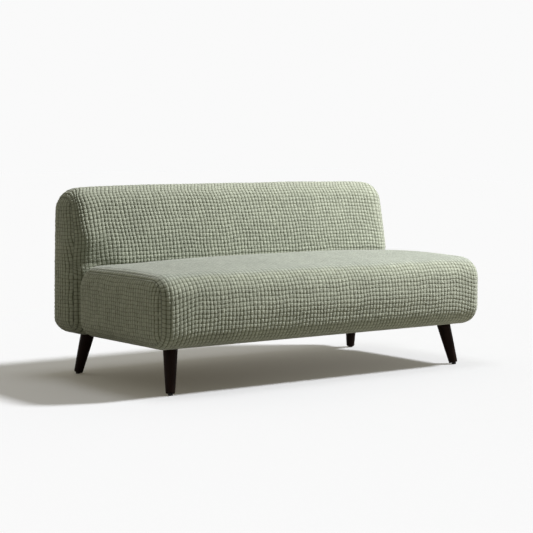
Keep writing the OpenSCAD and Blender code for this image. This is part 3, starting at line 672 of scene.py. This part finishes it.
# End panel: the blend of the seam's bottom to top and front to rear lines, less the blend of its corners;
# x follows the end's quarter circle by the distance from the seam, then domes by (1 - u^2)(1 - v^2)
def makePanel(settings, corners, ring, ringNormal, ringNumber, firstNumber, side, end):
    relief = reliefSettings
    flatHalf, endRound, endSwell, seam = end
    deep, tall = [count * len(cellSteps) for count in settings["cells"][:2]]
    around = len(ring)
    lower, rise = np.arange(deep + 1), np.arange(tall + 1)
    bottom, upper = lower, 2 * deep + tall - lower
    rear, front = deep + rise, (around - rise) % around
    u, v = np.meshgrid(np.append(cellLines(0, 1, settings["cells"][0])[0], 1),
                       np.append(cellLines(0, 1, settings["cells"][1])[0], 1), indexing="ij")
    flat = ring[:, 1:]
    blend = ((1 - v)[..., None] * flat[bottom][:, None] + v[..., None] * flat[upper][:, None]
             + (1 - u)[..., None] * flat[front][None] + u[..., None] * flat[rear][None])
    blend -= ((1 - u) * (1 - v))[..., None] * flat[0] + (u * (1 - v))[..., None] * flat[deep]
    blend -= (u * v)[..., None] * flat[deep + tall] + ((1 - u) * v)[..., None] * flat[2 * deep + tall]
    inner = blend.reshape(-1, 2)
    away = inner[:, None] - flat[None]
    distance = np.sqrt((away ** 2).sum(-1))
    nearest = distance.argmin(1)
    gap = distance[np.arange(len(inner)), nearest]
    drawnIn = np.minimum(endRound * (1 - np.cos(seam)) + gap, endRound)
    dome = endSwell * (1 - (2 * u - 1) ** 2) * (1 - (2 * v - 1) ** 2)
    x = flatHalf + np.sqrt(endRound ** 2 - (endRound - drawnIn) ** 2) + dome.ravel()
    spread = (endRound - drawnIn) / endRound
    outward = ringNormal[nearest][:, 1:]
    outward = outward / np.linalg.norm(outward, axis=1, keepdims=True)
    normal = np.column_stack([side * np.sqrt(1 - spread ** 2), outward * spread[:, None]])

    # Cells run straight up and between the panel's front and rear lines, and wander a little
    frontLine = np.array([corners[4 % len(corners)], corners[3]])
    rearLine = np.array(corners[1:3])
    frontY = np.interp(inner[:, 1], frontLine[:, 1], frontLine[:, 0])
    rearY = np.interp(inner[:, 1], rearLine[:, 1], rearLine[:, 0])
    pitch = settings["panelPitch"] * mm
    width = (rearLine - frontLine)[:, 0].mean()
    flat3 = np.column_stack([np.full(len(inner), side * flatHalf), inner])
    seed = settings["seed"] + 20 + 10 * side
    wanderSize = relief["panelWanderSize"] * mm
    across = 2 + (inner[:, 0] - frontY) / (rearY - frontY) * width / pitch
    across = across + relief["panelWander"] * softNoise(flat3, wanderSize, seed)
    up = 2 + (inner[:, 1] - corners[0][1]) / pitch
    up = up + relief["panelWander"] * softNoise(flat3, wanderSize, seed + 1)
    puffs = puffHeight(across, up, seed + 2)
    height = relief["panelPuff"] * mm * (puffs - relief["panelGround"])
    height = height * ease(gap / (settings["seamFade"] * mm)) * offUnderside(normal)
    creaseY, creaseZ = [shift * mm for shift in relief["panelCrease"]]
    corner = hump(np.hypot(inner[:, 0] - corners[3][0] - creaseY, inner[:, 1] - corners[3][1] - creaseZ),
                  relief["panelCreaseAround"] * mm)
    crinkle = softNoise(flat3, relief["crinkleSize"] * mm, seed + 3)
    height += relief["crinkle"] * mm * crinkle * ease(gap / (relief["crinkleFade"] * mm))
    height += seamRelief(settings, gap, nearest * 3 * mm, corner)
    points = np.column_stack([side * x, inner]) + normal * height[:, None]
    edge = np.zeros((deep + 1, tall + 1), bool)
    edge[[0, -1], :] = True
    edge[:, [0, -1]] = True
    numbers = np.empty((deep + 1, tall + 1), int)
    numbers[~edge] = firstNumber + np.arange((~edge).sum())
    numbers[:, 0], numbers[:, -1] = ringNumber[bottom], ringNumber[upper]
    numbers[-1, :], numbers[0, :] = ringNumber[rear], ringNumber[front]
    free = ~edge.ravel()
    cells = np.stack([across, up], -1).reshape(deep + 1, tall + 1, 2) + 200
    return {"points": points[free], "numbers": numbers, "cells": cells,
            "puff": puffs[free], "seamGap": gap[free], "calm": np.zeros(free.sum())}


# Fabric: light puffs and grooves painted darker as their shade, following the cells, with a fine crimped yarn
# over both
fabricSettings = {
    "crownColour": colour(184, 189, 171),
    # painted shade: the grooves' darker, more olive colour stands in for the shade in the hollows between the
    # puffs
    "grooveShadeColour": colour(96, 101, 78),
    # painted sheen: on the seat's top the cloth is drawn smooth and turns this cooler grey, which partly
    # stands in for the sheen of the lit top
    "calmSheenColour": colour(160, 167, 160),     # where the cloth is drawn smooth
    "columnGroove": 0.21,    # share of a cell from its side to the full colour of the puff
    "rowGroove": 0.15,
    "yarnsPerCell": 9.0,
    "yarnDepth": 0.35,
    "crumple": 0.5,          # strength of the fine wrinkles, a little over a third of a puff across
    "sheen": 0.4,
}


# Crimped yarn over a field of cells: how far a point is from the grooves, which places their painted shade,
# the grooves filled in here and there, fine crossed waves broken up by noise, wrinkles, and a tone for each
# cell
def makeWeaveGroup():
    group, start, end = newGroup(
        "crimpedWeave",
        [("Cells", "NodeSocketVector", None), ("Yarns", "NodeSocketFloat", 9.0),
         ("Column Groove", "NodeSocketFloat", 0.25), ("Row Groove", "NodeSocketFloat", 0.15)],
        [("Raised", "NodeSocketFloat"), ("Yarn", "NodeSocketFloat"), ("Crumple", "NodeSocketFloat"),
         ("Tone", "NodeSocketFloat")])
    cells = start.outputs["Cells"]
    parts = addNode(group, "ShaderNodeSeparateXYZ", {0: cells})
    rises, waves = [], []
    for axis, groove in enumerate(("Column Groove", "Row Groove")):
        distance = maths(group, "PINGPONG", parts.outputs[axis], 0.5)
        rises.append(ramp(group, distance, 0.0, start.outputs[groove], kind="SMOOTHSTEP"))
        turns = maths(group, "MULTIPLY", parts.outputs[axis], start.outputs["Yarns"])
        waves.append(maths(group, "SINE", maths(group, "MULTIPLY", turns, 2 * pi)))
    rows = maths(group, "MULTIPLY_ADD", rises[1], 0.8, 0.2)
    filled = ramp(group, noise(group, cells, 1.4, 1.0), 0.46, 0.7, 0.0, 0.7)
    crossed = maths(group, "MULTIPLY", waves[0], waves[1])
    cell = addNode(group, "ShaderNodeVectorMath", {0: cells}, operation="FLOOR").outputs[0]
    tone = addNode(group, "ShaderNodeTexWhiteNoise", {"Vector": cell}, noise_dimensions="3D")
    fill(group, end, {
        "Raised": maths(group, "MAXIMUM", maths(group, "MULTIPLY", rises[0], rows), filled),
        "Yarn": maths(group, "ADD", crossed, noise(group, cells, 6.0, 3.0)),
        "Crumple": noise(group, cells, 2.6, 2.0),
        "Tone": tone.outputs["Value"]})
    return group


weaveGroup = makeWeaveGroup()


def makeFabric(settings):
    material, tree, shader = newMaterial("sagePuckeredFabric")
    weave = addNode(tree, "ShaderNodeGroup", {
        "Cells": addNode(tree, "ShaderNodeUVMap", uv_map="cells").outputs[0],
        "Yarns": settings["yarnsPerCell"],
        "Column Groove": settings["columnGroove"],
        "Row Groove": settings["rowGroove"]}, node_tree=weaveGroup)
    puff, gap, calm = [addNode(tree, "ShaderNodeAttribute", attribute_name=name).outputs["Fac"]
                       for name in ("puff", "seamGap", "calm")]
    # Painted shade: the share of the puff's colour rises from the grooves to the crowns, set by the puff
    # height and the weave's distance from the grooves
    weaveRaised = maths(tree, "MULTIPLY", weave.outputs["Raised"], 0.7)
    raised = maths(tree, "MULTIPLY_ADD", puff, 0.3, weaveRaised, clamp=True)
    offSeam = ramp(tree, gap, 0.0005, 0.003, 0.96, 1.0)
    base = mixColours(tree, raised, settings["grooveShadeColour"], settings["crownColour"])
    # On the seat's top the colour turns to the cooler grey of smooth cloth, partly painted sheen of the lit
    # top
    base = mixColours(tree, calm, base, settings["calmSheenColour"])
    tone = ramp(tree, weave.outputs["Tone"], 0.0, 1.0, 0.9, 1.06)
    fade = ramp(tree, noise(tree, objectPlace(tree), 5.0, 2.0), 0.3, 0.7, 0.95, 1.05)
    yarnTone = ramp(tree, weave.outputs["Yarn"], -1.0, 2.0, 0.94, 1.05)
    level = maths(tree, "MULTIPLY", maths(tree, "MULTIPLY", tone, fade), yarnTone)
    level = maths(tree, "MULTIPLY", level, offSeam)
    grey = addNode(tree, "ShaderNodeCombineColor", {0: level, 1: level, 2: level}).outputs[0]
    wrinkles = bump(tree, settings["crumple"], 0.004, weave.outputs["Crumple"])
    fill(tree, shader, {
        "Base Color": mixColours(tree, 1.0, base, grey, "MULTIPLY"),
        "Normal": bump(tree, settings["yarnDepth"], 0.0006, weave.outputs["Yarn"], Normal=wrinkles),
        "Roughness": 0.92, "Specular IOR Level": 0.12,
        "Sheen Weight": settings["sheen"], "Sheen Roughness": 0.5})
    return material


fabric = makeFabric(fabricSettings)
contactY = seatBox[1][1] + blockGap / 2
seatCover = makeCover("seatCover", seatSettings, *seatBox, seatCorners(seatSettings, *seatBox),
                      1, contactY, fabric)
backCover = makeCover("backCover", backSettings, *backBox,
                      backCorners(backSettings, *backBox, seatBox[1][1] + blockGap), -1, contactY, fabric)
for cover, node in ((seatCover, "seat_cover"), (backCover, "back_cover")):
    stand(cover, node)


# Legs: circles along a slanting axis, tilting evenly from square across the foot to level at the top
legSettings = {
    "footRadius": 16.5, "topRadius": 26,         # mm
    "endHeight": 6.5,                            # middle of the lower end above the floor, mm
    "edgeRound": 2.5, "edgeRings": 5,            # rounding of the lower edge, mm
    "belly": 0.35,                               # slight fullness of the taper, mm
    "rings": 40, "around": 72,
    "core": 0.5,                                 # ring inside the lower end, as a share of its radius
    "inX": 94.5, "inFront": 84, "inRear": 64.5,  # foot centres inside the sofa's outer sides, mm
    "leanX": 24.5, "leanFront": 37, "leanRear": 35.5,
}
glideSettings = {
    "radius": 8.5, "edge": 0.8,                  # mm
    "around": 48, "rings": 6,
}


# Frame of a leg: foot on the floor, unit vector up the axis, and two unit vectors square to it
def legAxis(foot, top):
    axis = (top - foot) / np.linalg.norm(top - foot)
    first = np.cross(axis, (0, 1, 0))
    first /= np.linalg.norm(first)
    return axis, first, np.cross(axis, first)


# Closed skin round rings of points: quads between rings, and a fan of triangles at each end
def closedSkin(rings, firstPole, lastPole):
    many, around = rings.shape[:2]
    number = np.arange(many * around).reshape(many, around)
    number = np.column_stack([number, number[:, :1]])
    points = np.concatenate([rings.reshape(-1, 3), [firstPole, lastPole]])
    poles = np.full(around, many * around)
    fans = np.concatenate([np.stack([poles, number[0, 1:], number[0, :-1]], -1),
                           np.stack([poles + 1, number[-1, :-1], number[-1, 1:]], -1)])
    return points, [gridFaces(number)[:, [0, 3, 2, 1]], fans]


def makeLeg(name, settings, foot, top, material):
    axis, first, second = legAxis(foot, top)
    angle = np.linspace(0, 2 * pi, settings["around"], endpoint=False)
    spoke = np.cos(angle)[:, None] * first + np.sin(angle)[:, None] * second
    start = settings["endHeight"] * mm / axis[2]
    turn = np.linspace(0, pi / 2, settings["edgeRings"])
    edge = settings["edgeRound"] * mm
    share = np.linspace(0, 1, settings["rings"])
    footR, topR = settings["footRadius"] * mm, settings["topRadius"] * mm
    radius = footR + (topR - footR) * share + settings["belly"] * mm * np.sin(pi * share)
    heel = footR - edge + edge * np.sin(turn[:-1])
    heelUp = start + edge * (1 - np.cos(turn[:-1]))
    # The level top meets each line of the leg's side at its own distance up the axis
    last = (top[2] - foot[2] - topR * spoke[:, 2]) / axis[2]
    shaft = start + edge + share[:, None] * (last[None] - start - edge)
    low = np.concatenate([[start], heelUp])
    lengths = np.concatenate([np.repeat(low[:, None], len(angle), 1), shaft])
    radii = np.concatenate([[footR * settings["core"]], heel, radius])
    rings = foot + lengths[..., None] * axis + radii[:, None, None] * spoke
    points, faces = closedSkin(rings, foot + start * axis, top)
    leg = meshPiece(name, points, faces, material)
    away = points - foot
    pointValues(leg, "grain", np.stack([away @ first, away @ second, away @ axis], -1))
    return leg


# Glide: a round foot with a chamfered lower edge, cut off above by the slanting end of its leg
def makeGlide(name, settings, foot, top, endHeight, material):
    axis = legAxis(foot, top)[0]
    angle = np.linspace(0, 2 * pi, settings["around"], endpoint=False)
    spoke = np.column_stack([np.cos(angle), np.sin(angle), 0 * angle])
    radius, edge = settings["radius"] * mm, settings["edge"] * mm
    turn = np.linspace(0, pi / 2, settings["rings"])
    lowR = radius - edge + edge * np.sin(turn)
    lowZ = edge * (1 - np.cos(turn))
    rings = foot + lowR[:, None, None] * spoke + lowZ[:, None, None] * np.array([0, 0, 1])
    cut = endHeight * mm - radius * (spoke @ axis) / axis[2]
    topRing = foot + radius * spoke + cut[:, None] * np.array([0, 0, 1])
    middle = (rings[-1] + topRing) / 2
    rings = np.concatenate([rings, middle[None], topRing[None]])
    points, faces = closedSkin(rings, foot, foot + np.array([0, 0, endHeight * mm]))
    return meshPiece(name, points, faces, material)


# Grain drawn out along a vector's third part: slow bands, fine streaks and pores
def makeGrainGroup():
    group, start, end = newGroup(
        "drawnGrain",
        [("Place", "NodeSocketVector", None), ("Scale", "NodeSocketFloat", 60.0),
         ("Stretch", "NodeSocketFloat", 0.06)],
        [("Bands", "NodeSocketFloat"), ("Streaks", "NodeSocketFloat"), ("Pores", "NodeSocketFloat")])
    parts = addNode(group, "ShaderNodeSeparateXYZ", {0: start.outputs["Place"]})
    drawn = maths(group, "MULTIPLY", parts.outputs[2], start.outputs["Stretch"])
    place = addNode(group, "ShaderNodeCombineXYZ", {0: parts.outputs[0], 1: parts.outputs[1], 2: drawn})
    for name, finer in (("Bands", 1.0), ("Streaks", 7.0), ("Pores", 22.0)):
        scale = maths(group, "MULTIPLY", start.outputs["Scale"], finer)
        fill(group, end, {name: noise(group, place.outputs[0], scale, 3.0, 0.3)})
    return group


grainGroup = makeGrainGroup()


def makeWood(name, settings):
    material, tree, shader = newMaterial(name)
    if settings["own"]:
        place = addNode(tree, "ShaderNodeAttribute", attribute_name="grain").outputs["Vector"]
    else:
        turned = {0: objectPlace(tree), 2: settings["turn"]}
        place = addNode(tree, "ShaderNodeMapping", turned).outputs[0]
    grain = addNode(tree, "ShaderNodeGroup", {
        "Place": place, "Scale": settings["scale"], "Stretch": settings["stretch"]}, node_tree=grainGroup)
    bands = ramp(tree, grain.outputs["Bands"], 0.35, 0.65)
    streaks = ramp(tree, grain.outputs["Streaks"], 0.4, 0.7)
    share = maths(tree, "MULTIPLY_ADD", streaks, 0.45, maths(tree, "MULTIPLY", bands, 0.55), clamp=True)
    rough = settings["roughness"]
    fill(tree, shader, {
        "Base Color": mixColours(tree, share, settings["dark"], settings["light"]),
        "Roughness": ramp(tree, grain.outputs["Streaks"], 0.3, 0.7, rough - 0.05, rough + 0.08),
        "Normal": bump(tree, settings["relief"], 0.0003, grain.outputs["Pores"]),
        "Specular IOR Level": settings["specular"]})
    return material


stainedWood = makeWood("espressoStainedWood", {
    "own": True, "scale": 70.0, "stretch": 0.05, "dark": colour(12, 7, 5), "light": colour(36, 21, 15),
    "roughness": 0.55, "relief": 0.25, "specular": 0.06})


# Speckled plain finish: a colour that varies slightly, with fine relief
def makePlain(name, settings):
    material, tree, shader = newMaterial(name)
    place = objectPlace(tree)
    fine, slow = noise(tree, place, settings["scale"], 4.0), noise(tree, place, 9.0, 1.0)
    share = maths(tree, "MULTIPLY_ADD", fine, 0.7, maths(tree, "MULTIPLY", slow, 0.3))
    rough = settings["roughness"]
    fill(tree, shader, {
        "Base Color": mixColours(tree, ramp(tree, share, 0.35, 0.65), settings["dark"], settings["light"]),
        "Roughness": ramp(tree, fine, 0.3, 0.7, rough - 0.06, rough + 0.06),
        "Normal": bump(tree, settings["relief"], settings["depth"], fine),
        "Metallic": settings.get("metallic", 0.0), "Specular IOR Level": 0.3})
    return material


glidePlastic = makePlain("mouldedBlackPlastic", {
    "scale": 900.0, "dark": colour(22, 22, 23), "light": colour(32, 32, 34), "roughness": 0.55,
    "relief": 0.2, "depth": 0.0002})

overall = np.array(cadBounds)
legX = overall[1, 0] - legSettings["inX"] * mm
legRows = {
    "Front": (overall[0, 1] + legSettings["inFront"] * mm, legSettings["leanFront"] * mm, seatBox[0][2]),
    "Rear": (overall[1, 1] - legSettings["inRear"] * mm, -legSettings["leanRear"] * mm, backBox[0][2]),
}
for side, sideName in ((-1, "Left"), (1, "Right")):
    for rowName, (y, lean, height) in legRows.items():
        name, node = rowName + sideName, (rowName + "_" + sideName).lower()
        foot = np.array([side * legX, y, 0])
        top = np.array([side * (legX - legSettings["leanX"] * mm), y + lean, height])
        leg = makeLeg("leg" + name, legSettings, foot, top, stainedWood)
        glide = makeGlide("glide" + name, glideSettings, foot, top, legSettings["endHeight"], glidePlastic)
        stand(leg, "leg_" + node)
        stand(glide, "glide_" + node)
print("legs and glides turned:", 2 * len(legRows))


# Dust cloths: a thin black cloth stapled over each opening in the cover, drawn flat with a slight sag
dustSettings = {
    "steps": (80, 40),
    "thickness": 0.4, "sag": 1.2, "pucker": 0.25,  # mm
    "inset": 0.45,                                 # below the top of the cloth's box, mm
    "stapleGap": 45,                               # mm between the puckers at the staples
}


# Height below the cover: sag times (1 - u^4)(1 - v^4), less small puckers that fade in from the edges
def makeDustCloth(name, settings, low, high, material):
    across, back = [np.linspace(-1, 1, count + 1) for count in settings["steps"]]
    u, v = np.meshgrid(across, back, indexing="ij")
    x = (low[0] + high[0]) / 2 + u * (high[0] - low[0]) / 2
    y = (low[1] + high[1]) / 2 + v * (high[1] - low[1]) / 2
    sag = settings["sag"] * mm * (1 - u ** 4) * (1 - v ** 4)
    gap = settings["stapleGap"] * mm
    pucker = np.cos(2 * pi * x / gap) * np.abs(v) ** 24 + np.cos(2 * pi * y / gap) * np.abs(u) ** 40
    sag += settings["pucker"] * mm * (pucker - 1)
    z = high[2] - settings["inset"] * mm - sag
    points = np.stack([x, y, z], -1).reshape(-1, 3)
    number = np.arange(len(points)).reshape(u.shape)
    cloth = meshPiece(name, points, [gridFaces(number)[:, ::-1]], material)
    shell = cloth.modifiers.new("cloth", "SOLIDIFY")
    shell.thickness = settings["thickness"] * mm
    shell.offset = 0.0
    return cloth


# Non-woven cloth: felted fibres with rows of small pressed dots
def makeNonWoven(settings):
    material, tree, shader = newMaterial("blackNonWovenCloth")
    place = objectPlace(tree)
    parts = addNode(tree, "ShaderNodeSeparateXYZ", {0: place})
    fibre, slow = noise(tree, place, 700.0, 4.0), noise(tree, place, 40.0, 2.0)
    dots = []
    for axis in (0, 1):
        turns = maths(tree, "MULTIPLY", parts.outputs[axis], 2 * pi / (settings["dotPitch"] * mm))
        dots.append(maths(tree, "SINE", turns))
    pressed = maths(tree, "MAXIMUM", maths(tree, "MULTIPLY", dots[0], dots[1]), 0.0)
    share = maths(tree, "MULTIPLY_ADD", slow, 0.5, maths(tree, "MULTIPLY", fibre, 0.5))
    height = maths(tree, "MULTIPLY_ADD", pressed, -0.6, fibre)
    fill(tree, shader, {
        "Base Color": mixColours(tree, share, settings["dark"], settings["light"]),
        "Normal": bump(tree, 0.4, 0.0003, height), "Roughness": 0.9})
    return material


nonWoven = makeNonWoven({"dark": colour(18, 18, 19), "light": colour(42, 42, 44), "dotPitch": 4.0})
for name, node in (("seatDustCloth", "seat_dust_cloth"), ("backDustCloth", "back_dust_cloth")):
    low, high = nodeBox(node)
    cloth = makeDustCloth(name, dustSettings, low, high, nonWoven)
    stand(cloth, node)
print("dust cloths made")


# Finishes of what the covers hide
def makeWebbing(settings):
    material, tree, shader = newMaterial("elasticWebbing")
    inputs = {"Vector": objectPlace(tree), "Scale": settings["ribs"], "Distortion": 0.4, "Detail": 1.0}
    wave = addNode(tree, "ShaderNodeTexWave", inputs, wave_type="BANDS", bands_direction="DIAGONAL")
    ribs = wave.outputs[1]
    fill(tree, shader, {
        "Base Color": mixColours(tree, ribs, settings["dark"], settings["light"]),
        "Normal": bump(tree, 0.5, 0.0006, ribs), "Roughness": 0.85})
    return material


finishes = {
    "soft_foam": makePlain("softWhiteFoam", {
        "scale": 320.0, "dark": colour(218, 214, 198), "light": colour(238, 235, 222), "roughness": 0.92,
        "relief": 0.6, "depth": 0.001}),
    "firm_foam": makePlain("firmYellowFoam", {
        "scale": 420.0, "dark": colour(212, 198, 150), "light": colour(232, 220, 178), "roughness": 0.9,
        "relief": 0.6, "depth": 0.0008}),
    "frame_timber": makeWood("planedSoftwood", {
        "own": False, "turn": (0.0, radians(90), 0.0), "scale": 26.0, "stretch": 0.05,
        "dark": colour(178, 132, 84), "light": colour(214, 178, 128), "roughness": 0.66, "relief": 0.4,
        "specular": 0.3}),
    "plywood": makeWood("birchPlywood", {
        "own": False, "turn": (0.0, 0.0, 0.0), "scale": 18.0, "stretch": 0.12,
        "dark": colour(190, 156, 112), "light": colour(222, 194, 150), "roughness": 0.62, "relief": 0.3,
        "specular": 0.3}),
    "webbing": makeWebbing({"ribs": 180.0, "dark": colour(26, 26, 28), "light": colour(70, 70, 74)}),
    "zinc_steel": makePlain("zincPlatedSteel", {
        "scale": 260.0, "dark": colour(176, 178, 182), "light": colour(212, 214, 216), "roughness": 0.36,
        "relief": 0.15, "depth": 0.0002, "metallic": 1.0}),
    "cover_fabric": fabric, "dust_cloth": nonWoven, "leg_wood": stainedWood, "glide_plastic": glidePlastic,
}
for part in frame["record"]["subparts"]:
    node = nodes[part["node"]]
    node.data.materials.clear()
    node.data.materials.append(finishes[part["material_slot"]])
print("finishes put on", len(nodes), "nodes")

low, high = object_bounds()
